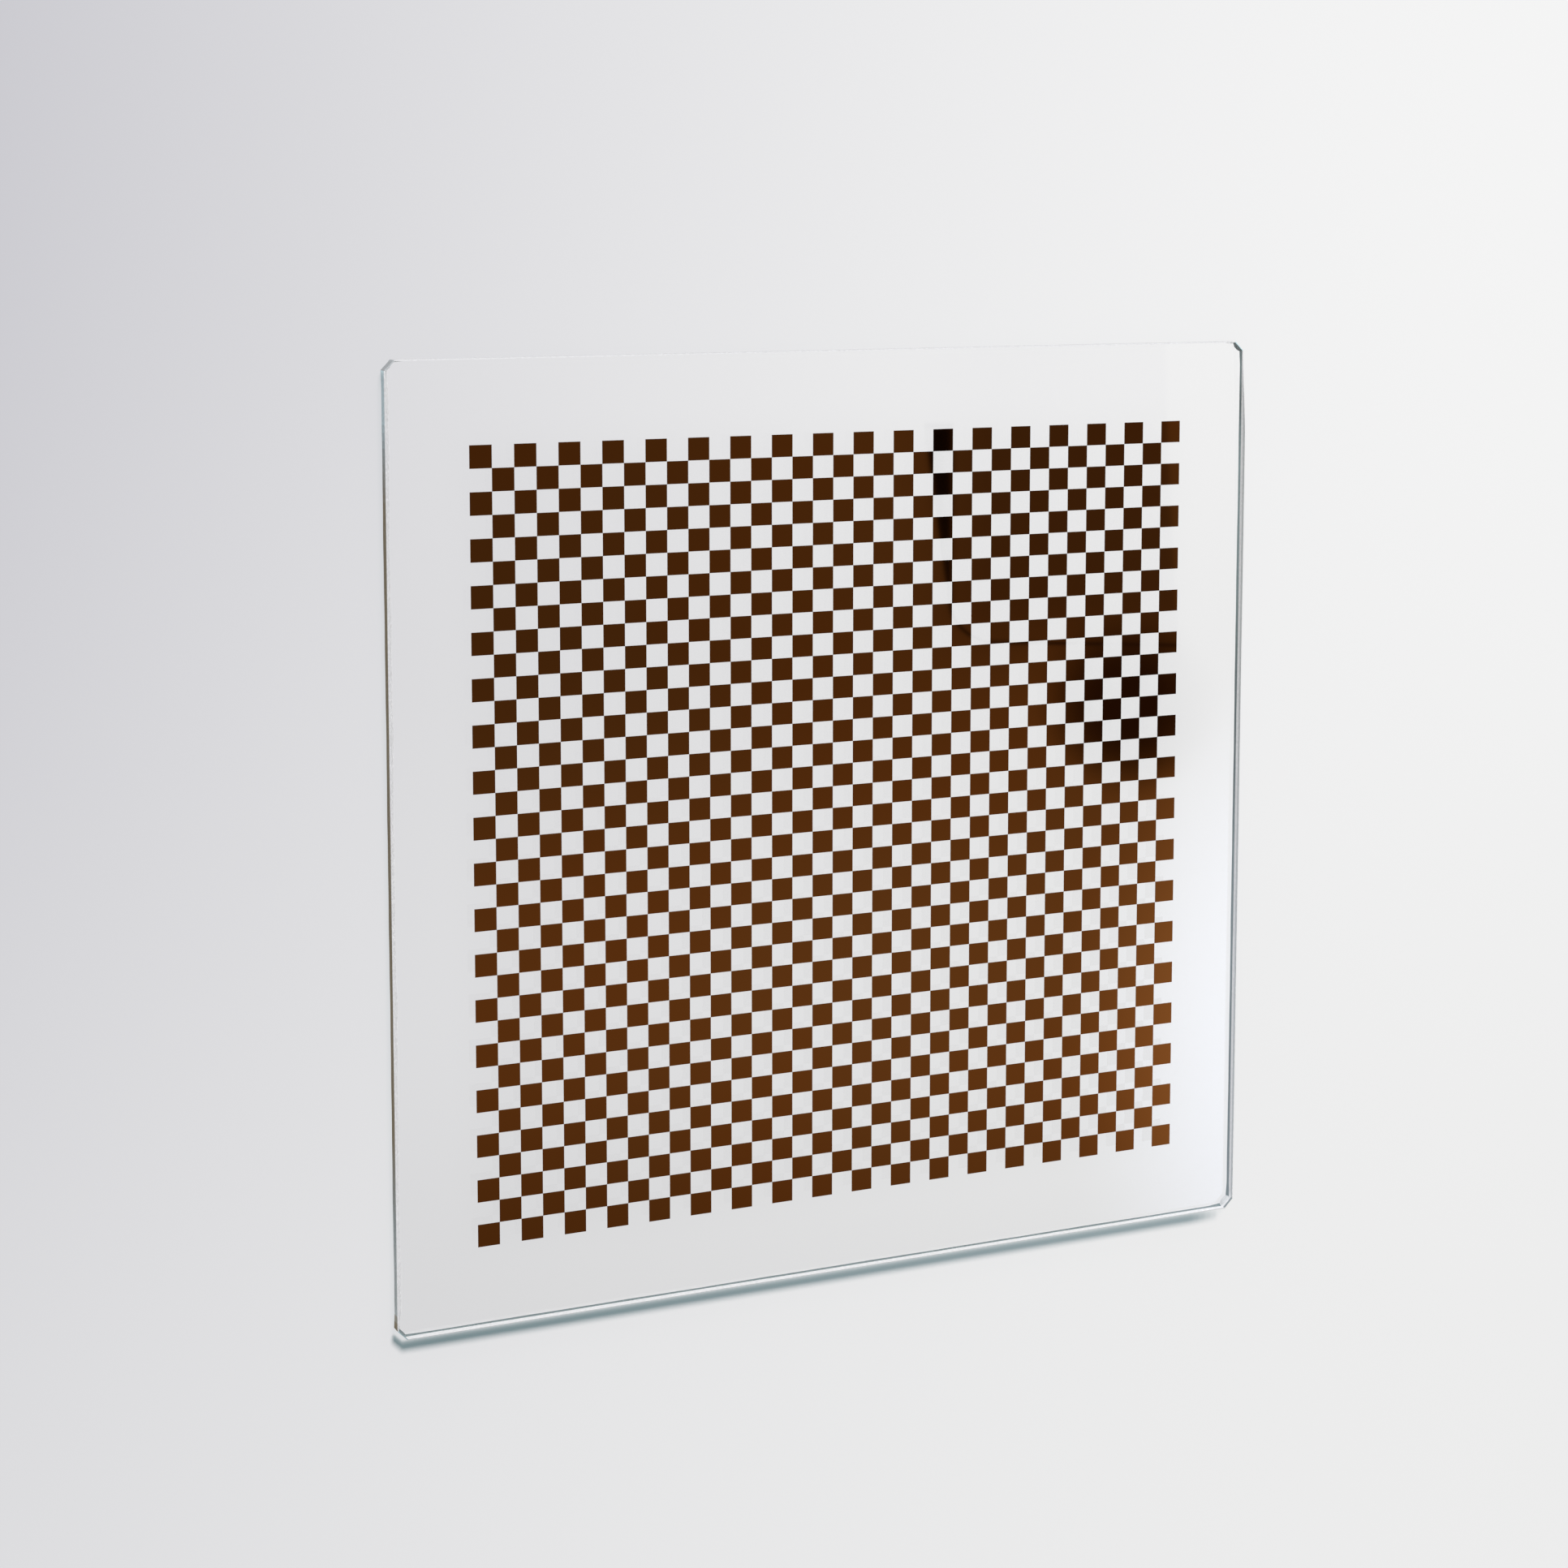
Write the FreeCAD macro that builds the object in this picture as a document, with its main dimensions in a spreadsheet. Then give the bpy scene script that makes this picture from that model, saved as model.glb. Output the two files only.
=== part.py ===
import FreeCAD, Part

import math
import os

import Sketcher

# Checkerboard calibration target: a square soda-lime glass plate with clipped corners and ground
# bevels, and on its top face a checkerboard of dark chrome film squares. The plate lies flat on its
# clear back face. X runs along a row of squares, Y along a column, and Z goes up out of the coated
# face. The origin is the middle of the back face.

doc = FreeCAD.newDocument("CalibrationTarget")

# Driving dimensions, in millimetres
sizes = doc.addObject("Spreadsheet::Sheet", "Sizes")
driving_dimensions = {
    "plate_width": "127",
    "plate_height": "127",
    "plate_thickness": "2.3",
    "corner_clip": "1.3",
    "edge_bevel": "0.3",
    "square_pitch": "3",
    "clear_border": "11",
    "film_thickness": "0.02",
}
for row, (alias, number) in enumerate(driving_dimensions.items(), start=1):
    sizes.set(f"A{row}", alias.replace("_", " "))
    sizes.set(f"B{row}", number)
    sizes.setAlias(f"B{row}", alias)
doc.recompute()

# The board is the largest odd number of whole squares that leaves the clear border free on both
# sides, so that all four of its corner squares are dark. The slack keeps a division that comes out
# a hair under a whole number from losing two squares.
ROUNDING_SLACK = 0.001


def squares_across(plate_side):
    """The expression for the odd number of squares that fits along one side of the plate."""
    room = f"(Sizes.{plate_side} - 2 * Sizes.clear_border) / Sizes.square_pitch"
    return f"(2 * floor(({room} - 1) / 2 + {ROUNDING_SLACK}) + 1)"


columns = squares_across("plate_width")
rows = squares_across("plate_height")


def origin_plane(body, role):
    """One of a body's own origin planes, by its role."""
    return next(feature for feature in body.Origin.OriginFeatures if feature.Role == role)


def sketch_on_base(body, name):
    """An empty sketch on the body's XY plane."""
    sketch = body.newObject("Sketcher::SketchObject", name)
    sketch.AttachmentSupport = [(origin_plane(body, "XY_Plane"), "")]
    sketch.MapMode = "FlatFace"
    return sketch


def add_rectangle(sketch, width, height):
    """A closed rectangle whose width and height are bound to two expressions. Its lower left
    corner is the start of its first line and its upper right corner the start of its third."""
    corners = [(0, 0), (1, 0), (1, 1), (0, 1)]
    points = [FreeCAD.Vector(x, y, 0) for x, y in corners]
    for start, end in zip(points, points[1:] + points[:1]):
        sketch.addGeometry(Part.LineSegment(start, end))
    for line in range(4):
        sketch.addConstraint(Sketcher.Constraint("Coincident", line, 2, (line + 1) % 4, 1))
    for line in (0, 2):
        sketch.addConstraint(Sketcher.Constraint("Horizontal", line))
    for line in (1, 3):
        sketch.addConstraint(Sketcher.Constraint("Vertical", line))
    for name, line, kind, expression in (
        ("width", 0, "DistanceX", width),
        ("height", 1, "DistanceY", height),
    ):
        index = sketch.addConstraint(Sketcher.Constraint(kind, line, 1, line, 2, 1.0))
        sketch.renameConstraint(index, name)
        sketch.setExpression(f"Constraints.{name}", expression)


def edges_where(feature, wanted):
    """The names of the feature's edges whose two ends pass a test."""
    return [
        f"Edge{number}"
        for number, edge in enumerate(feature.Shape.Edges, start=1)
        if wanted(*(vertex.Point for vertex in edge.Vertexes))
    ]


# Glass plate
def make_glass_plate():
    """The plate is cut square, then its four upright corner edges are clipped at 45 degrees, and
    last the sharp edges of both faces are ground off in a narrow bevel all the way round."""
    body = doc.addObject("PartDesign::Body", "GlassPlate")
    body.Label = "glass_plate"
    body.Placement = FreeCAD.Placement()

    outline = sketch_on_base(body, "PlateOutline")
    add_rectangle(outline, "Sizes.plate_width", "Sizes.plate_height")
    centre_between_corners = Sketcher.Constraint("Symmetric", 0, 1, 2, 1, -1, 1)
    outline.addConstraint(centre_between_corners)

    blank = body.newObject("PartDesign::Pad", "PlateBlank")
    blank.Profile = outline
    blank.setExpression("Length", "Sizes.plate_thickness")
    doc.recompute()

    corners = body.newObject("PartDesign::Chamfer", "ClippedCorners")
    corners.Base = (blank, edges_where(blank, lambda a, b: not math.isclose(a.z, b.z)))
    corners.setExpression("Size", "Sizes.corner_clip")
    doc.recompute()

    bevels = body.newObject("PartDesign::Chamfer", "GroundBevels")
    bevels.Base = (corners, edges_where(corners, lambda a, b: math.isclose(a.z, b.z)))
    bevels.setExpression("Size", "Sizes.edge_bevel")
    body.Tip = bevels
    return body


# Chrome squares
def make_square_family(name, first_square, column_count, row_count):
    """Every second square of every second row: one square of film, repeated two pitches apart
    along X and Y. The first square is counted from the board's lower left corner."""
    body = doc.addObject("PartDesign::Body", name)
    sketch = sketch_on_base(body, name + "Outline")
    add_rectangle(sketch, "Sizes.square_pitch", "Sizes.square_pitch")
    sketch.addConstraint(Sketcher.Constraint("Coincident", 0, 1, -1, 1))
    for axis, squares in (("x", columns), ("y", rows)):
        from_centre = f"({first_square} - {squares} / 2) * Sizes.square_pitch"
        sketch.setExpression(f"AttachmentOffset.Base.{axis}", from_centre)
    sketch.setExpression("AttachmentOffset.Base.z", "Sizes.plate_thickness")

    film = body.newObject("PartDesign::Pad", name + "Film")
    film.Profile = sketch
    film.setExpression("Length", "Sizes.film_thickness")
    doc.recompute()

    pattern = body.newObject("PartDesign::LinearPattern", name + "Pattern")
    pattern.Originals = [film]
    pattern.Direction = (sketch, ["H_Axis"])
    pattern.Direction2 = (sketch, ["V_Axis"])
    pattern.Mode = "Extent"
    pattern.Mode2 = "Extent"
    pattern.Refine = False
    pattern.setExpression("Occurrences", column_count)
    pattern.setExpression("Occurrences2", row_count)
    pattern.setExpression("Length", f"({column_count} - 1) * 2 * Sizes.square_pitch")
    pattern.setExpression("Length2", f"({row_count} - 1) * 2 * Sizes.square_pitch")
    body.Tip = pattern
    return body


def make_chrome_squares():
    """The whole board: the squares of the outer rows, corners included, and the squares of the
    rows between them, one pitch further in."""
    outer = make_square_family("OuterSquares", 0, f"({columns} + 1) / 2", f"({rows} + 1) / 2")
    inner = make_square_family("InnerSquares", 1, f"({columns} - 1) / 2", f"({rows} - 1) / 2")
    board = doc.addObject("Part::Compound", "ChromeSquares")
    board.Label = "chrome_squares"
    board.Links = [outer, inner]
    board.Placement = FreeCAD.Placement()
    return board


sub_parts = [make_glass_plate(), make_chrome_squares()]
doc.recompute()

# Every feature must have come out whole before anything is written
for item in doc.Objects:
    failed = [state for state in item.State if state in ("Invalid", "Error")]
    if failed:
        raise RuntimeError(f"{item.Name} failed: {failed}")
for sub_part in sub_parts:
    if sub_part.Shape.isNull() or not sub_part.Shape.isValid():
        raise RuntimeError(f"{sub_part.Label} has no valid shape")

os.makedirs("parts", exist_ok=True)
for sub_part in sub_parts:
    shape = sub_part.Shape
    shape.exportStep(f"parts/{sub_part.Label}.step")
    print(f"{sub_part.Label}: {len(shape.Solids)} solids, {shape.Volume:.2f} mm3")
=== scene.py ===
# %% [markdown]
# A checkerboard calibration target: a square glass plate that carries a checkerboard of chrome
# film squares on its top face. A camera is calibrated by looking at the corners of the squares.
# The plate is 2.3 mm thick and can't stand by itself, so it lies on its clear back face and the
# camera looks down on it. This lesson dresses the plate for a picture: first the camera, then the
# floor and the light, then the glass with its ground edges, and last the chrome film.

import bpy
import numpy as np
from mathutils import Matrix, Vector


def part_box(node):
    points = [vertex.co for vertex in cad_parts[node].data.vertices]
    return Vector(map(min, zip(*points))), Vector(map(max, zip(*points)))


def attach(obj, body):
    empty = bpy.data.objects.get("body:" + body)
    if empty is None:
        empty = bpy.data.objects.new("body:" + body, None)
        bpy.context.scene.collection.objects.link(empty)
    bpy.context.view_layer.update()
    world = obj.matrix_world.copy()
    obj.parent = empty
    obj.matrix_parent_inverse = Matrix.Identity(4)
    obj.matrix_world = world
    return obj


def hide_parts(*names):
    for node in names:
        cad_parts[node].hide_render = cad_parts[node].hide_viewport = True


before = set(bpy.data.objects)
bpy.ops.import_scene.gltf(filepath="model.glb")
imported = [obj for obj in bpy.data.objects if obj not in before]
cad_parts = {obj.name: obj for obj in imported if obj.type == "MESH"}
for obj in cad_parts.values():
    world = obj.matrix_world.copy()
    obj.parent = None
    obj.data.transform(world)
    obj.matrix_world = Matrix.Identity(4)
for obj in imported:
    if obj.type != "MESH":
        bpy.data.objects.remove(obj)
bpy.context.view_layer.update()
bpy.context.scene.view_settings.view_transform = "Standard"

MM = 0.001
PLATE_LOW, PLATE_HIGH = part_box("glass_plate")
FILM_LOW, FILM_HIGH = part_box("chrome_squares")
THICKNESS = PLATE_HIGH.z - PLATE_LOW.z
HALF_WIDTH = PLATE_HIGH.x
HALF_HEIGHT = PLATE_HIGH.y
print(f"plate {2 * HALF_WIDTH / MM:.1f} by {2 * HALF_HEIGHT / MM:.1f} by {THICKNESS / MM:.2f} mm")

# %% [markdown]
# The picture is taken from in front of the plate, from its left and a little above its middle.
# A camera needs a place, a point to look at and a direction that is up in the picture. Here up is
# the plate's own +Y, because the plate lies down while the picture keeps it upright. The three
# axes of the camera are worked out from these with cross products, which is what a tracking
# constraint does, but leaves nothing behind that other views would have to undo. The photograph
# keeps the plate's upright edges almost parallel, which takes a lens that is shifted down a little.

# %% Camera
EYE = Vector((-170.2, 82.9, 361.6)) * MM
LOOK_AT = Vector((-7.7, 40.1, 0)) * MM
PICTURE_UP = Vector((0, 1, 0))
SENSOR_WIDTH_MM = 36
LENS_MM = 68.3
LENS_SHIFT = -0.165

camera_data = bpy.data.cameras.new("camera")
camera_data.sensor_width = SENSOR_WIDTH_MM
camera_data.lens = LENS_MM
camera_data.shift_y = LENS_SHIFT
camera_data.clip_start = 1 * MM
camera = bpy.data.objects.new("camera", camera_data)
bpy.context.scene.collection.objects.link(camera)

backwards = (EYE - LOOK_AT).normalized()
rightwards = PICTURE_UP.cross(backwards).normalized()
upwards = backwards.cross(rightwards)
turn = Matrix((rightwards, upwards, backwards)).transposed()
camera.matrix_world = Matrix.Translation(EYE) @ turn.to_4x4()
bpy.context.scene.camera = camera
print(f"camera {(EYE - LOOK_AT).length / MM:.0f} mm from the plate")

# %% [markdown]
# Most of the work below is done with shader nodes, so a few small helpers keep it readable. One
# adds a node and fills in its inputs, and a socket given as a value is linked instead of copied.
# The others are short names for a sum, a smooth ramp, a blend or a scaling of colours, a noise and
# an empty material.

# %% Node helpers


def fill_in(tree, socket, value):
    """Links a socket to another one, or gives it a plain value."""
    if isinstance(value, bpy.types.NodeSocket):
        tree.links.new(value, socket)
    else:
        socket.default_value = value


def add_node(tree, kind, inputs=None, **settings):
    """A node of one kind, with its settings, and its inputs filled in or linked."""
    node = tree.nodes.new(kind)
    for name, value in settings.items():
        setattr(node, name, value)
    for name, value in (inputs or {}).items():
        fill_in(tree, node.inputs[name], value)
    return node


def add_math(tree, operation, first, second):
    """One sum, product or comparison of two values or sockets."""
    return add_node(tree, "ShaderNodeMath", {0: first, 1: second}, operation=operation).outputs[0]


def ramp(tree, value, start, end, low=0, high=1, smooth=True):
    """Low where the value is at start or before, high at end or past it, and even between."""
    kind = "SMOOTHSTEP" if smooth else "LINEAR"
    inputs = {"Value": value, "From Min": start, "From Max": end, "To Min": low, "To Max": high}
    return add_node(tree, "ShaderNodeMapRange", inputs, interpolation_type=kind).outputs[0]


def blend(tree, share, first, second):
    """A colour between two colours, by a share from 0 to 1."""
    node = add_node(tree, "ShaderNodeMix", data_type="RGBA")
    for index, value in ((0, share), (6, first), (7, second)):
        fill_in(tree, node.inputs[index], value)
    return node.outputs[2]


def scaled(tree, colour, level):
    """A colour made brighter or darker by a factor."""
    inputs = {0: colour, "Scale": level}
    return add_node(tree, "ShaderNodeVectorMath", inputs, operation="SCALE").outputs[0]


def noise(tree, place, per_metre, detail):
    """A noise from 0 to 1 that changes over the surface."""
    inputs = {"Vector": place, "Scale": per_metre, "Detail": detail}
    return add_node(tree, "ShaderNodeTexNoise", inputs).outputs[0]


def blend_shaders(tree, share, first, second):
    """A mix of two shaders, by a share from 0 to 1."""
    return add_node(tree, "ShaderNodeMixShader", {0: share, 1: first, 2: second}).outputs[0]


def new_material(name):
    """An empty node material, its node tree and its output node."""
    material = bpy.data.materials.new(name)
    material.use_nodes = True
    tree = material.node_tree
    tree.nodes.clear()
    return material, tree, tree.nodes.new("ShaderNodeOutputMaterial")


def axes_of(tree, vector):
    """The X, Y and Z sockets of a vector socket."""
    return add_node(tree, "ShaderNodeSeparateXYZ", {0: vector}).outputs


# %% [markdown]
# The plate lies on a wide pale sheet, cool grey on the left and nearly white on the right. The
# sheet has two jobs. The camera sees it as a plain diffuse surface that catches the shadow. It is
# also the clean backdrop that shows in the clear squares, so rays that have passed the glass or
# were mirrored see it evenly bright, with no sharp shadows of the film on it. Painted shade stands
# in for the soft shade of the plate and the film there: the sheet is a little brighter towards the
# far side, a little darker towards the near side and a little darker under the board. Light Path
# tells the two kinds of ray apart.

# %% Floor
FLOOR_HALF_SIZE = 3.0
FLOOR_GAP = 0.05 * MM
LEFT_FAR = (0.562, 0.558, 0.598, 1)
LEFT_NEAR = (0.720, 0.720, 0.735, 1)
RIGHT_FAR = (0.905, 0.905, 0.905, 1)
RIGHT_NEAR = (0.840, 0.840, 0.840, 1)
LEFT_END = -125 * MM
RIGHT_END = 135 * MM
NEAR_END = -120 * MM
FAR_END = 110 * MM
UNDER_PLATE_NEAR = 0.92
UNDER_PLATE_FAR = 1.05
BOARD_SHADE = 0.03
BOARD_SHADE_EDGE = (48 * MM, 57 * MM)


def backdrop_colour(tree, x, y):
    """Cool grey at the left, fading fast at first and then slowly to nearly white at the right."""
    left = blend(tree, ramp(tree, y, NEAR_END, FAR_END), LEFT_NEAR, LEFT_FAR)
    right = blend(tree, ramp(tree, y, NEAR_END, FAR_END), RIGHT_NEAR, RIGHT_FAR)
    leftness = ramp(tree, x, RIGHT_END, LEFT_END, smooth=False)
    return blend(tree, add_math(tree, "MULTIPLY", leftness, leftness), right, left)


def board_share(tree, x, y):
    """1 under the board, falling smoothly to 0 round it."""
    full, none = BOARD_SHADE_EDGE
    across = ramp(tree, add_math(tree, "ABSOLUTE", x, 0), none, full)
    along = ramp(tree, add_math(tree, "ABSOLUTE", y, 0), none, full)
    return add_math(tree, "MULTIPLY", across, along)


def backdrop_material():
    """Pale sheet: diffuse for the camera and the light, evenly bright through and in the glass."""
    material, tree, output = new_material("backdrop_sheet")
    place = axes_of(tree, add_node(tree, "ShaderNodeTexCoord").outputs["Object"])
    colour = backdrop_colour(tree, place["X"], place["Y"])
    sheet = add_node(tree, "ShaderNodeBsdfDiffuse", {"Color": colour}).outputs[0]
    # Painted shade: the glow is a little darker towards the near side and under the board.
    ends = (PLATE_LOW.y, PLATE_HIGH.y, UNDER_PLATE_NEAR, UNDER_PLATE_FAR)
    level = ramp(tree, place["Y"], *ends, smooth=False)
    shade = add_math(tree, "MULTIPLY", board_share(tree, place["X"], place["Y"]), BOARD_SHADE)
    level = add_math(tree, "SUBTRACT", level, shade)
    glow = add_node(tree, "ShaderNodeEmission", {"Color": colour, "Strength": level}).outputs[0]
    path = add_node(tree, "ShaderNodeLightPath").outputs
    through = add_math(tree, "MAXIMUM", path["Is Glossy Ray"], path["Is Transmission Ray"])
    tree.links.new(blend_shaders(tree, through, sheet, glow), output.inputs["Surface"])
    material.cycles.emission_sampling = "NONE"
    return material


def make_floor():
    """A flat square sheet just under the plate's back face."""
    side = FLOOR_HALF_SIZE
    corners = [(-side, -side), (side, -side), (side, side), (-side, side)]
    mesh = bpy.data.meshes.new("floor")
    mesh.from_pydata([(x, y, -FLOOR_GAP) for x, y in corners], [], [(0, 1, 2, 3)])
    mesh.materials.append(backdrop_material())
    sheet = bpy.data.objects.new("floor", mesh)
    bpy.context.scene.collection.objects.link(sheet)


make_floor()
print(f"floor {2 * FLOOR_HALF_SIZE:.0f} m wide")

# %% [markdown]
# The film is a mirror, so what it shows is the room. A plain studio is enough. In the part of the
# sky that the board mirrors, the light is dim towards the far side and brighter towards the near
# side, like a ceiling with a window behind the camera, and it grows a little from left to right.
# A soft bright patch shows in the board's lower right: a smooth spot of directions, made from the
# angle between the direction that a ray takes and the patch's middle. A soft dark panel with one
# rounded corner shows in its upper right: directions are told apart by their distance from the
# panel's outline. The panel's rim is black, and it is what shows how sharply the film mirrors. A
# soft dark spot lies just below the panel. Diffuse rays see a plain even level instead, so the
# pattern doesn't change how bright things are lit.

# %% World
CEILING_FAR = (0.460, 0.450, 0.430, 1)
CEILING_NEAR = (0.820, 0.820, 0.820, 1)
CEILING_BEHIND = (0.580, 0.580, 0.580, 1)
FAR_TO_NEAR = (-0.14, -0.265)
NEAR_TO_BEHIND = (-0.275, -0.345)
SIDE_SLOPE = 0.168
SLOPE_ENDS = (0.25, 0.55)
CEILING_TO_WALL = (0.7, 0.3)
WALL_ENDS = (0.6, -0.6)
BRIGHT_PATCH = {"towards": (0.621, -0.275, 0.734), "inner": 2, "outer": 10.5}
BRIGHT_COLOUR = (2.8, 3.1, 3.8, 1)
PANEL_CORNER = (0.4700, -0.1325)
PANEL_RADIUS = 0.013
PANEL_SLANT = 0.05
PANEL_RIGHT_END = 0.522
PANEL_TOP_END = -0.073
PANEL_SOFTNESS = 0.022
PANEL_COLOUR = (0.30, 0.29, 0.31, 1)
RIM_THIN = 0.0010
RIM_GROWTH = 0.13
RIM_BLUR = 0.0005
RIM_COLOUR = (0.02, 0.02, 0.02, 1)
DARK_SPOT = {"towards": (0.5065, -0.1655, 0.8463), "inner": 0.3, "outer": 1.9}
SPOT_COLOUR = (0.10, 0.09, 0.10, 1)
EVEN_LEVEL = 0.29


def soft_patch(tree, direction, towards, inner, outer):
    """1 in directions within inner degrees of towards, falling smoothly to 0 at outer degrees."""
    middle = Vector(towards).normalized()
    cosine = add_node(
        tree, "ShaderNodeVectorMath", {0: direction, 1: middle}, operation="DOT_PRODUCT"
    ).outputs["Value"]
    return ramp(tree, cosine, float(np.cos(np.radians(outer))), float(np.cos(np.radians(inner))))


def panel_distance(tree, axis):
    """How far a direction lies outside the dark panel.

    The panel's outline is two lines that meet in a rounded corner, so the distance is the length
    of what lies short of the corner's middle in X and in Y, less the radius. Its left line leans a
    little, so X is first moved in proportion to Y."""
    rise = add_math(tree, "SUBTRACT", axis["Y"], PANEL_CORNER[1])
    across = add_math(tree, "SUBTRACT", axis["X"], add_math(tree, "MULTIPLY", rise, PANEL_SLANT))
    squares = []
    for value, middle in zip((across, axis["Y"]), PANEL_CORNER):
        short = add_math(tree, "MAXIMUM", add_math(tree, "SUBTRACT", middle, value), 0)
        squares.append(add_math(tree, "MULTIPLY", short, short))
    length = add_math(tree, "POWER", add_math(tree, "ADD", *squares), 0.5)
    return add_math(tree, "SUBTRACT", length, PANEL_RADIUS)


def panel_rim(tree, axis, distance):
    """1 in a band along the panel's outline, which widens upwards from the corner and ends level
    with the panel's top."""
    rise = add_math(tree, "MAXIMUM", add_math(tree, "SUBTRACT", axis["Y"], PANEL_CORNER[1]), 0)
    growth = add_math(tree, "MULTIPLY", rise, RIM_GROWTH)
    outer = add_math(tree, "SUBTRACT", distance, add_math(tree, "ADD", growth, RIM_THIN))
    band = add_math(
        tree,
        "MULTIPLY",
        ramp(tree, distance, -RIM_BLUR, RIM_BLUR),
        ramp(tree, outer, RIM_BLUR, -RIM_BLUR),
    )
    top_end = ramp(tree, axis["Y"], PANEL_TOP_END + RIM_THIN, PANEL_TOP_END - RIM_THIN)
    return add_math(tree, "MULTIPLY", band, top_end)


def add_panel(tree, axis, colour):
    """A colour with the dark panel and its rim laid over it."""
    distance = panel_distance(tree, axis)
    inside = ramp(tree, distance, PANEL_SOFTNESS, -PANEL_SOFTNESS)
    right_end = ramp(tree, axis["X"], PANEL_RIGHT_END + RIM_THIN, PANEL_RIGHT_END - RIM_THIN)
    colour = blend(tree, add_math(tree, "MULTIPLY", inside, right_end), colour, PANEL_COLOUR)
    rim = add_math(tree, "MULTIPLY", panel_rim(tree, axis, distance), right_end)
    return blend(tree, rim, colour, RIM_COLOUR)


def mirrored_room(tree, direction, horizon):
    """Colour of the studio for each direction, as the film and the glass mirror it."""
    axis = axes_of(tree, direction)
    colour = blend(tree, ramp(tree, axis["Y"], *FAR_TO_NEAR), CEILING_FAR, CEILING_NEAR)
    colour = blend(tree, ramp(tree, axis["Y"], *NEAR_TO_BEHIND), colour, CEILING_BEHIND)
    slope = ramp(tree, axis["X"], *SLOPE_ENDS, 1 - SIDE_SLOPE, 1 + SIDE_SLOPE)
    colour = scaled(tree, colour, slope)
    colour = blend(tree, soft_patch(tree, direction, **BRIGHT_PATCH), colour, BRIGHT_COLOUR)
    colour = add_panel(tree, axis, colour)
    colour = blend(tree, soft_patch(tree, direction, **DARK_SPOT), colour, SPOT_COLOUR)
    return blend(tree, ramp(tree, axis["Z"], *CEILING_TO_WALL), colour, horizon)


def make_world():
    """Studio light from all round: even for diffuse rays, patterned for mirrored ones."""
    world = bpy.data.worlds.new("studio")
    world.use_nodes = True
    tree = world.node_tree
    tree.nodes.clear()
    direction = add_node(tree, "ShaderNodeTexCoord").outputs["Generated"]
    across = ramp(tree, axes_of(tree, direction)["X"], *WALL_ENDS)
    seen = blend(tree, across, RIGHT_FAR, LEFT_FAR)
    even = add_node(
        tree, "ShaderNodeBackground", {"Color": (1, 1, 1, 1), "Strength": EVEN_LEVEL}
    ).outputs[0]
    mirrored = mirrored_room(tree, direction, seen)
    room = add_node(tree, "ShaderNodeBackground", {"Color": mirrored})
    wall = add_node(tree, "ShaderNodeBackground", {"Color": seen})
    path = add_node(tree, "ShaderNodeLightPath").outputs
    through = add_math(tree, "MAXIMUM", path["Is Glossy Ray"], path["Is Transmission Ray"])
    light = blend_shaders(tree, through, even, room.outputs[0])
    light = blend_shaders(tree, path["Is Camera Ray"], light, wall.outputs[0])
    output = tree.nodes.new("ShaderNodeOutputWorld")
    tree.links.new(light, output.inputs["Surface"])
    world.cycles.sampling_method = "NONE"
    bpy.context.scene.world = world


make_world()
print("world made")

# %% [markdown]
# One large lamp shines from far beyond the plate's far edge, the top of the picture. It throws the
# narrow soft shadow along the near edge, and the film doesn't mirror it into the camera. A sun
# lamp lights the whole sheet alike, and its angle is how wide the light looks from the plate.

# %% Lamp
LAMP_TOWARDS = Vector((0.03, 0.71, 0.70))
LAMP_ANGLE_DEG = 14
LAMP_STRENGTH = 3.2

lamp_data = bpy.data.lights.new("far_lamp", "SUN")
lamp_data.angle = float(np.radians(LAMP_ANGLE_DEG))
lamp_data.energy = LAMP_STRENGTH
lamp = bpy.data.objects.new("far_lamp", lamp_data)
lamp.matrix_world = LAMP_TOWARDS.to_track_quat("Z", "Y").to_matrix().to_4x4()
bpy.context.scene.collection.objects.link(lamp)
print("lamp placed")

# %% [markdown]
# The plate was cut square, its corners were clipped and its sharp edges were ground off by hand.
# The outline is an eight-sided loop. Each of its corners moves in along its mitre, the line that
# halves the angle there, and a point between two corners moves in along a blend of their mitres,
# so every side stays straight and parallel to itself.

# %% Outline of the plate
SIDES = (
    "right",
    "upper right",
    "top",
    "upper left",
    "left",
    "lower left",
    "bottom",
    "lower right",
)
CORNER_CLIP = 1.3 * MM
STEPS_PER_EDGE = 127
STEPS_PER_CLIP = 8


def outline_corners():
    """The outline's eight corners and their mitres, anticlockwise from the right side's lower end.

    A mitre is the sum of the outward normals of the corner's two sides, over one plus their dot
    product. Going back along it by an inset moves both sides in by that inset."""
    x, y, clip = HALF_WIDTH, HALF_HEIGHT, CORNER_CLIP
    corners = [(x, clip - y), (x, y - clip), (x - clip, y), (clip - x, y)]
    corners = np.array(corners + [(-cx, -cy) for cx, cy in corners])
    along = np.roll(corners, -1, axis=0) - corners
    along /= np.linalg.norm(along, axis=1, keepdims=True)
    normals = np.stack([along[:, 1], -along[:, 0]], axis=1)
    before = np.roll(normals, 1, axis=0)
    mitres = (before + normals) / (1 + (before * normals).sum(axis=1, keepdims=True))
    return corners, mitres


def outline_steps():
    """For each point round the outline: the side that it is on and its share along that side."""
    counts = [STEPS_PER_EDGE, STEPS_PER_CLIP] * (len(SIDES) // 2)
    sides = np.repeat(np.arange(len(SIDES)), counts)
    shares = np.concatenate([np.arange(count) / count for count in counts])
    return sides, shares


def per_side(table, usual):
    """A number for each outline point, from a table of sides and a usual value for the rest."""
    return np.array([table.get(side, usual) for side in SIDES])[side_of]


side_of, share_of = outline_steps()
print(f"{len(side_of)} points round the outline")

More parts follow.
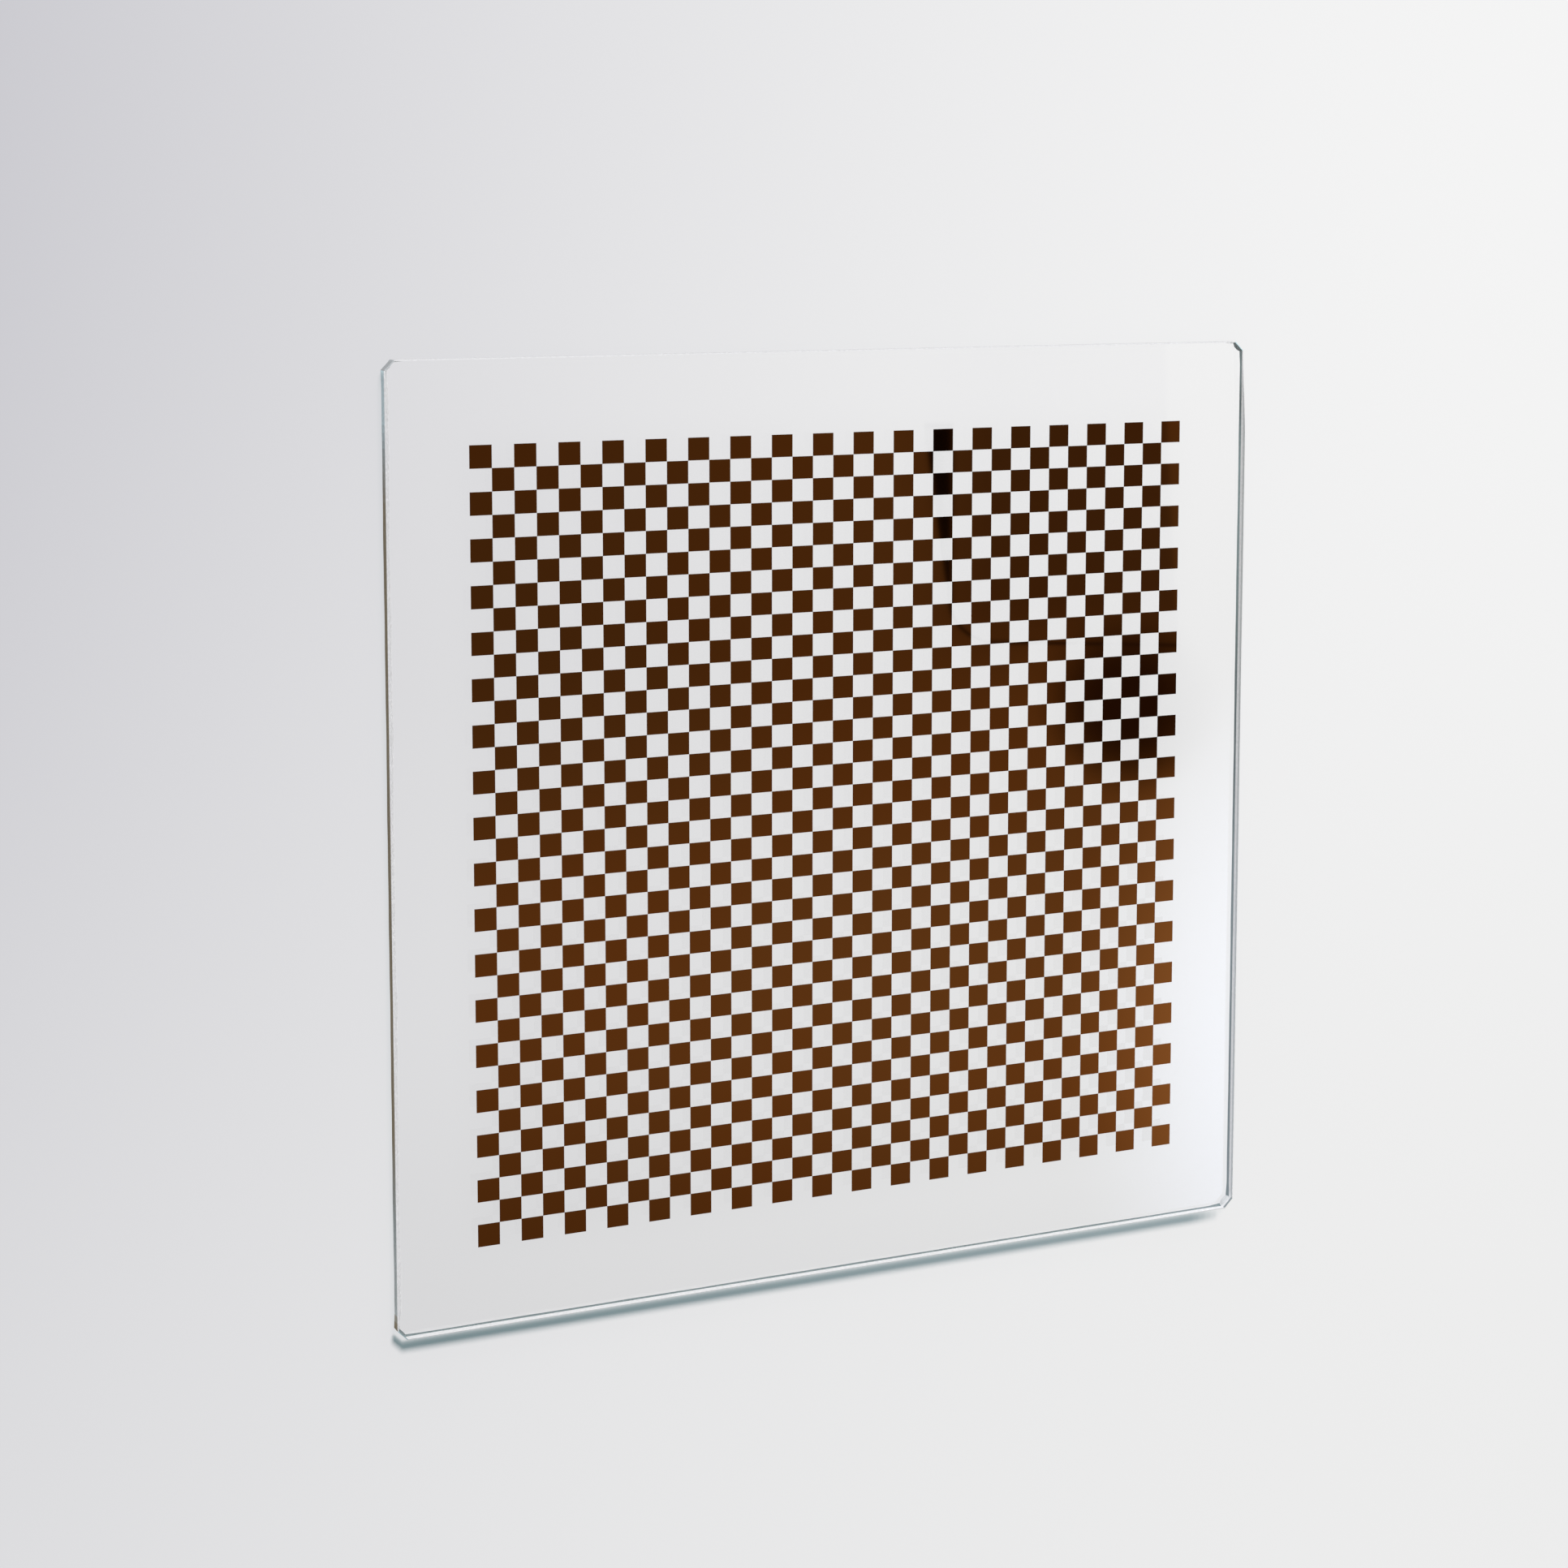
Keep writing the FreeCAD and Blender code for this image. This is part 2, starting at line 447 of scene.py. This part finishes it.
# %% [markdown]
# Across the edge runs a profile: a bevel at the back face, the ground edge itself, and a bevel at
# the front face. A bevel is a flat at 45 degrees between two small arcs, one against the face and
# one against the edge, so its sharp lines, the arrises, are a little rounded. The arcs' tangent
# points lie tan(22.5 degrees) times the radius from where the two flats would meet.

# %% Profile of a bevel
BEVEL = 0.3 * MM
ARRIS_RADIUS = 0.04 * MM
ARRIS_STEPS = 3
EDGE_STRIPS = 6


def arris(inset, depth, start_deg, end_deg):
    """Points of a small arc round (inset, depth), its angles counted from straight outwards."""
    angles = np.radians(np.linspace(start_deg, end_deg, ARRIS_STEPS + 1))
    return np.stack(
        [inset - ARRIS_RADIUS * np.cos(angles), depth - ARRIS_RADIUS * np.sin(angles)], axis=1
    )


def bevel_profile():
    """(inset, depth) steps of a bevel, from its face, where the depth is 0, to the edge."""
    reach = BEVEL + ARRIS_RADIUS * np.tan(np.radians(22.5))
    at_face = arris(reach, ARRIS_RADIUS, 90, 45)
    at_edge = arris(ARRIS_RADIUS, reach, 45, 0)
    return np.concatenate([at_face, at_edge])


profile = bevel_profile()
bevel_strips = len(profile) - 1
zone_of = np.repeat([0, 1, 2], [bevel_strips, EDGE_STRIPS, bevel_strips])
print(f"{len(profile)} steps over a bevel, {len(zone_of)} strips over the edge")

# %% [markdown]
# Grinding by hand leaves its traces. The bevels are wider on one side than on another and vary
# along each, the edges waver by a hundredth of a millimetre or so, and near the upper right corner
# the edge leans: more was taken off the front there, over the last 14 mm. The wavering is a sum
# of a few sine waves with unrelated lengths, so it never repeats along an edge. It fades out at
# the ends of a side, where the sides have to meet, and two bevels meet there at the mean of their
# sizes. A surface made like this is a function of two parameters, the way along the outline and
# the step over the edge, so numpy works it out in one go.

# %% Edge surface
BACK_SIZE = 1.0
FRONT_SIZE = 0.4
BACK_SIZES = {
    "right": 0.85,
    "upper right": 1.6,
    "top": 0.6,
    "upper left": 1.9,
    "left": 2.9,
    "bottom": 0.65,
    "lower right": 1.8,
}
FRONT_SIZES = {"left": 1.2, "bottom": 0.6}
BEVEL_SPREAD = 0.12
FACE_LIFT = 0.002 * MM
WAVER = 0.012 * MM
WAVE_LENGTHS = (41.0 * MM, 17.3 * MM, 7.1 * MM)
WAVE_SHARES = (0.5, 0.3, 0.2)
WAVE_OFFSET = 1.7
BACK_PHASE = 4.1
FRONT_PHASE = 1.3
EDGE_PHASE = 2.2
FADE_LENGTH = 2 * MM
CLIP_FADE_LENGTH = 0.5 * MM
LEAN = 0.62 * MM
LEAN_LENGTH = 14 * MM
LEAN_WIDTH = 6 * MM


def smooth_ramp(value):
    """0 below 0, 1 above 1, and an even S between."""
    value = np.clip(value, 0, 1)
    return value * value * (3 - 2 * value)


def waver(distance, phase):
    """Sum of sine waves along a distance, between -1 and 1."""
    waves = np.zeros_like(distance)
    for number, (length, share) in enumerate(zip(WAVE_LENGTHS, WAVE_SHARES)):
        waves += share * np.sin(2 * np.pi * distance / length + phase * (number + WAVE_OFFSET))
    return waves


def bevel_sizes(usual, table, along, fade, phase):
    """How large a bevel is at each outline point: its usual size, times a side's own share.

    At a corner the share is the mean of the two sides' shares."""
    shares = np.array([table.get(side, 1) for side in SIDES])
    corner_shares = (shares + np.roll(shares, 1)) / 2
    meeting = corner_shares[(side_of + (share_of >= 0.5)) % len(SIDES)]
    own = shares[side_of] * (1 + BEVEL_SPREAD * waver(along, phase + side_of))
    return usual * (meeting + (own - meeting) * fade)


def edge_surface():
    """Points of the ground edge, a row for each step over it and a column for each outline point.

    The rows go from the back face to the front face. A point is its outline point less its inset
    times the mitre there, and the lean moves it left in proportion to its height."""
    corners, mitres = outline_corners()
    following = (side_of + 1) % len(SIDES)
    share = share_of[:, None]
    outer = corners[side_of] * (1 - share) + corners[following] * share
    mitre = mitres[side_of] * (1 - share) + mitres[following] * share
    length = np.linalg.norm(corners[following] - corners[side_of], axis=1)
    along = share_of * length
    fade_length = np.where(side_of % 2 == 0, FADE_LENGTH, CLIP_FADE_LENGTH)
    fade = smooth_ramp(np.minimum(along, length - along) / fade_length)

    inset, depth = profile.T[:, :, None]
    back = bevel_sizes(BACK_SIZE, BACK_SIZES, along, fade, BACK_PHASE)
    front = bevel_sizes(FRONT_SIZE, FRONT_SIZES, along, fade, FRONT_PHASE)
    top = THICKNESS + FACE_LIFT
    lower = depth * back
    upper = top - (depth * front)[::-1]
    between = np.linspace(0, 1, EDGE_STRIPS + 1)[1:-1, None]
    middle = lower[-1] + between * (upper[0] - lower[-1])
    z = np.concatenate([lower, middle, upper])
    insets = np.concatenate([inset * back, 0 * middle, (inset * front)[::-1]])
    insets = insets + WAVER * fade * (1 + waver(along, EDGE_PHASE + side_of)) / 2
    place = outer - insets[..., None] * mitre

    x, y = place[..., 0], place[..., 1]
    upness = smooth_ramp((y - (HALF_HEIGHT - LEAN_LENGTH)) / LEAN_LENGTH)
    rightness = smooth_ramp((x - (HALF_WIDTH - LEAN_WIDTH)) / (LEAN_WIDTH - CORNER_CLIP))
    return np.stack([x - LEAN * upness * rightness * z / top, y, z], axis=-1)


edge_points = edge_surface()
print(f"edge surface {edge_points.shape[0]} by {edge_points.shape[1]}")

# %% [markdown]
# A ground edge is frosted, and its tint depends on the strip and on the side. Most of the tint is
# painted light and shade. It stands in for the light carried along the plate and for how each side
# faces the light. Seen through the plate, the back bevel is a painted dark teal line, and the edge
# itself is white along the bottom and painted darker at some corners. Seen from outside, the edge
# has the inside of the plate painted on it: painted teal light at the upper end of the left side,
# and a painted brown reflection beside the board, whose squares are mirrored along the glass.
# The bottom edge throws a teal shadow, deeper towards the left, and its lower third lets the light
# through. These tints are stored for each face of the edge: a darkness between a light and a dark
# tint for each side, a few tints along the left side, and a few levels of the dark line along the
# right side, where it is uneven.

# %% Tints of the ground edge
FROST_WHITE = np.array((0.70, 0.70, 0.71))
DARK_TEAL = np.array((0.11, 0.15, 0.155))
BEVEL_WHITE = np.array((0.80, 0.80, 0.81))
PALE_TEAL = np.array((0.47, 0.68, 0.73))
TOP_WHITE = np.array((0.64, 0.64, 0.65))
CLIP_GREY = np.array((0.30, 0.325, 0.34))
PALE_GREY = np.array((0.42, 0.44, 0.45))
MIRRORED_FILM_BROWN = np.array((0.275, 0.225, 0.145))
GREY_TEAL = np.array((0.38, 0.43, 0.43))
SOFT_GREY = np.array((0.50, 0.56, 0.56))
LIGHT_TEAL = np.array((0.66, 0.82, 0.86))
SHADOW_LEFT = np.array((0.0, 0.12, 0.14))
SHADOW_RIGHT = np.array((0.15, 0.26, 0.29))
SHADOW_PALE = np.array((0.92, 0.94, 0.94))
# Painted shade and light for each side: how dark the back bevel, the edge and its upper half look
# from inside, how much brighter the inside is painted, and the white and greys painted on the
# outside of some sides.
BACK_PAINTED_SHADE = {"top": 0.0, "upper left": 0.0, "left": 0.0, "bottom": 1.0, "lower right": 0.3}
EDGE_PAINTED_SHADE = {"upper right": 0.5, "upper left": 0.4, "left": 0.3, "lower left": 0.5}
UPPER_PAINTED_SHADE = {"right": 0.5, "upper right": 0.4, "lower right": 1.0, "lower left": 0.3}
UPPER_SHARE = 0.5
INSIDE_PAINTED_LIGHT = {"top": 1.4, "right": 1.25, "left": 1.13, "upper left": 1.2}
OUTSIDE_PAINTED_TINTS = {"top": TOP_WHITE, "upper left": PALE_GREY, "lower right": CLIP_GREY}
# Along the left side: the brown stretches are a painted reflection of the film's brown squares, and
# the teal and greys are painted light from inside the plate.
LEFT_PLACES = np.array((-61.8, -61, -60.2, -59, -52, -47, -36, 45, 52, 56)) * MM
LEFT_PAINTED_TINTS = (
    BEVEL_WHITE,
    MIRRORED_FILM_BROWN,
    MIRRORED_FILM_BROWN,
    SOFT_GREY,
    SOFT_GREY,
    GREY_TEAL,
    MIRRORED_FILM_BROWN,
    MIRRORED_FILM_BROWN,
    GREY_TEAL,
    LIGHT_TEAL,
)
RIGHT_PLACES = np.array((-60, -50, -44, -30, -10, 4, 20, 28, 45, 50, 54, 59)) * MM
RIGHT_LEVELS = (0.72, 0.72, 0.5, 0.72, 0.8, 0.45, 0.7, 1.1, 1.35, 1.0, 0.45, 0.95)
PLAIN_BEVEL_SIDES = [SIDES.index(name) for name in SIDES if " " in name or name == "top"]
SHADOW_FADE = 7 * MM
SHADOW_START = 0.32
SHADOW_FULL = 0.48


def edge_tints():
    """Tint with painted light and shade seen from inside, tint with painted light and reflection
    seen from outside, and tint of shadow light, for each strip and outline point."""
    zones = zone_of[:, None, None]
    height = ((np.arange(len(zone_of)) - bevel_strips + 0.5) / EDGE_STRIPS)[:, None, None]
    upper = per_side(UPPER_PAINTED_SHADE, 0)[:, None]
    edge = np.where(height > UPPER_SHARE, upper, per_side(EDGE_PAINTED_SHADE, 0)[:, None])
    back = per_side(BACK_PAINTED_SHADE, 1)[None, :, None]
    darkness = np.select([zones == 0, zones == 1], [back, edge], 0)
    inside = FROST_WHITE + darkness * (DARK_TEAL - FROST_WHITE)
    inside = inside * per_side(INSIDE_PAINTED_LIGHT, 1)[None, :, None]

    x, y = edge_points[0, :, 0], edge_points[0, :, 1]
    dark_line = (zones == 0) & (side_of == SIDES.index("right"))[:, None]
    inside = np.where(dark_line, inside * np.interp(y, RIGHT_PLACES, RIGHT_LEVELS)[:, None], inside)

    channels = np.array(LEFT_PAINTED_TINTS).T
    along_left = np.stack([np.interp(y, LEFT_PLACES, channel) for channel in channels], axis=1)
    on_left = (side_of == SIDES.index("left"))[:, None]
    outside = np.where(on_left, along_left, per_side(OUTSIDE_PAINTED_TINTS, PALE_TEAL))[None]
    pale = (zones == 2) & ~np.isin(side_of, PLAIN_BEVEL_SIDES)[:, None]
    outside = np.where(pale, BEVEL_WHITE, outside)

    rightness = ((x + HALF_WIDTH) / (2 * HALF_WIDTH))[:, None]
    deep = SHADOW_LEFT + rightness * (SHADOW_RIGHT - SHADOW_LEFT)
    below = per_side({"bottom": 1, "lower left": 1}, 0) * smooth_ramp((HALF_WIDTH - x) / SHADOW_FADE)
    depth = smooth_ramp((height - SHADOW_START) / (SHADOW_FULL - SHADOW_START))
    shadow = SHADOW_PALE + below[:, None] * depth * (deep - SHADOW_PALE)
    return {"inside_tint_with_painted_light": inside, "outside_tint_with_painted_light": outside, "shadow_tint": shadow}


tints = edge_tints()
print("tints for", ", ".join(tints))

# %% [markdown]
# The plate's mesh is the edge surface, closed into a ring, and one flat cap on each face. The
# front cap lies 0.002 mm higher than the film's lower side, so that no two surfaces coincide. The
# ground mask is 1 on the edge and 0 on the two polished faces.

# %% Glass plate


def add_face_attribute(mesh, name, kind, edge_values, cap_value):
    """Stores a value for each face of the edge, strip by strip, and one for the two caps."""
    values = np.asarray(edge_values, np.float32).reshape(len(mesh.polygons) - 2, -1)
    caps = np.full((2, values.shape[1]), cap_value, np.float32)
    values = np.concatenate([values, caps])
    if kind == "FLOAT_COLOR":
        values = np.concatenate([values, np.ones((len(values), 1), np.float32)], axis=1)
    layer = mesh.attributes.new(name, kind, "FACE")
    layer.data.foreach_set("color" if kind == "FLOAT_COLOR" else "value", values.ravel())


def make_plate():
    """The glass plate as one closed mesh with its mask and its tints."""
    rows, columns, _ = edge_points.shape
    index = np.arange(rows * columns).reshape(rows, columns)
    ahead = np.roll(index, -1, axis=1)
    quads = np.stack([index[:-1], ahead[:-1], ahead[1:], index[1:]], axis=-1).reshape(-1, 4)
    caps = [index[0][::-1].tolist(), index[-1].tolist()]
    mesh = bpy.data.meshes.new("ground_glass_plate")
    mesh.from_pydata(edge_points.reshape(-1, 3).tolist(), [], quads.tolist() + caps)
    smooth = np.ones(len(mesh.polygons), bool)
    smooth[-2:] = False
    mesh.polygons.foreach_set("use_smooth", smooth)
    add_face_attribute(mesh, "ground", "FLOAT", np.ones(len(quads)), 0)
    for name, tint in tints.items():
        add_face_attribute(mesh, name, "FLOAT_COLOR", tint, 1)
    mesh.update()
    plate = bpy.data.objects.new("ground_glass_plate", mesh)
    bpy.context.scene.collection.objects.link(plate)
    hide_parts("glass_plate")
    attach(plate, "root")
    return plate


plate = make_plate()
print(f"glass plate with {len(plate.data.polygons)} faces")

# %% [markdown]
# The faces are polished clear glass. The ground edge is the same glass, matt, and mostly frosted
# over: a diffuse coat is mixed in by the mask, with the edge's tint, which carries its painted
# light, shade and reflection, and a fine mottle makes it uneven, as grinding by hand does. Light
# for the shadow goes straight through, with a tint of its own that is chosen to keep the shadow as
# pale as a real plate's.

# %% Glass material
GLASS_IOR = 1.52
GROUND_ROUGHNESS = 0.4
FROST = 0.8
GRIT_PER_METRE = 5000
GRIT_DETAIL = 2
GRIT_STRENGTH = 0.15
GRIT_DEPTH = 0.02 * MM
MOTTLE_PER_METRE = 2600
MOTTLE_DETAIL = 3
MOTTLE_ENDS = (0.3, 0.7)
MOTTLE = (0.90, 1.09)


def glass_material():
    """Clear glass, matt, frosted and tinted with painted light and shade where it is ground."""
    material, tree, output = new_material("soda_lime_glass")

    def layer(name, output_name):
        return add_node(tree, "ShaderNodeAttribute", attribute_name=name).outputs[output_name]

    place = add_node(tree, "ShaderNodeTexCoord").outputs["Object"]
    ground = layer("ground", "Fac")
    grit = noise(tree, place, GRIT_PER_METRE, GRIT_DETAIL)
    relief = add_math(tree, "MULTIPLY", ground, grit)
    relief_inputs = {"Strength": GRIT_STRENGTH, "Distance": GRIT_DEPTH, "Height": relief}
    bump = add_node(tree, "ShaderNodeBump", relief_inputs).outputs[0]
    inside = add_node(tree, "ShaderNodeNewGeometry").outputs["Backfacing"]
    # The edge's tints are painted light, shade and reflection, seen from outside and from inside.
    tint = blend(tree, inside, layer("outside_tint_with_painted_light", "Color"), layer("inside_tint_with_painted_light", "Color"))
    spots = noise(tree, place, MOTTLE_PER_METRE, MOTTLE_DETAIL)
    level = ramp(tree, spots, *MOTTLE_ENDS, *MOTTLE, smooth=False)
    tint = blend(tree, ground, tint, scaled(tree, tint, level))
    glass = add_node(
        tree,
        "ShaderNodeBsdfPrincipled",
        {
            "Base Color": tint,
            "Roughness": add_math(tree, "MULTIPLY", ground, GROUND_ROUGHNESS),
            "IOR": GLASS_IOR,
            "Transmission Weight": 1,
            "Normal": bump,
        },
    )
    frost = add_node(tree, "ShaderNodeBsdfDiffuse", {"Color": tint, "Normal": bump})
    frosting = add_math(tree, "MULTIPLY", ground, FROST)
    seen = blend_shaders(tree, frosting, glass.outputs[0], frost.outputs[0])
    clear = add_node(tree, "ShaderNodeBsdfTransparent", {"Color": layer("shadow_tint", "Color")})
    path = add_node(tree, "ShaderNodeLightPath").outputs
    for_light = add_math(tree, "MAXIMUM", path["Is Shadow Ray"], path["Is Diffuse Ray"])
    surface = blend_shaders(tree, for_light, seen, clear.outputs[0])
    tree.links.new(surface, output.inputs["Surface"])
    return material


plate.data.materials.append(glass_material())
print("glass material set")

# %% [markdown]
# The film is chrome with a low-reflection top layer, which leaves it a deep brown mirror. The
# layer's thickness drifts slowly over the board, so its brown is a little warmer in one place
# than in another. Seen from below, through the glass, the film is plain bright chrome.

# %% Film material
FILM_BROWN = (0.128, 0.0365, 0.0062, 1)
FILM_WARM = (0.121, 0.0385, 0.0076, 1)
FILM_UNDERSIDE = (0.42, 0.40, 0.38, 1)
FILM_ROUGHNESS = (0.01, 0.03)
DRIFT_PER_METRE = 22
DRIFT_DETAIL = 2
DRIFT_ENDS = (0.35, 0.65)


def film_material():
    """Brown mirror on top, brighter chrome underneath."""
    material, tree, output = new_material("low_reflection_chrome")
    place = add_node(tree, "ShaderNodeTexCoord").outputs["Object"]
    drift = noise(tree, place, DRIFT_PER_METRE, DRIFT_DETAIL)
    brown = blend(tree, ramp(tree, drift, *DRIFT_ENDS), FILM_BROWN, FILM_WARM)
    middle = (FILM_LOW.z + FILM_HIGH.z) / 2
    top = add_math(tree, "GREATER_THAN", axes_of(tree, place)["Z"], middle)
    roughness = ramp(tree, drift, 0, 1, *FILM_ROUGHNESS, smooth=False)
    film = add_node(
        tree,
        "ShaderNodeBsdfPrincipled",
        {
            "Base Color": blend(tree, top, FILM_UNDERSIDE, brown),
            "Metallic": 1,
            "Roughness": roughness,
        },
    )
    tree.links.new(film.outputs[0], output.inputs["Surface"])
    return material


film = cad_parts["chrome_squares"]
film.data.materials.clear()
film.data.materials.append(film_material())
print("film material set")
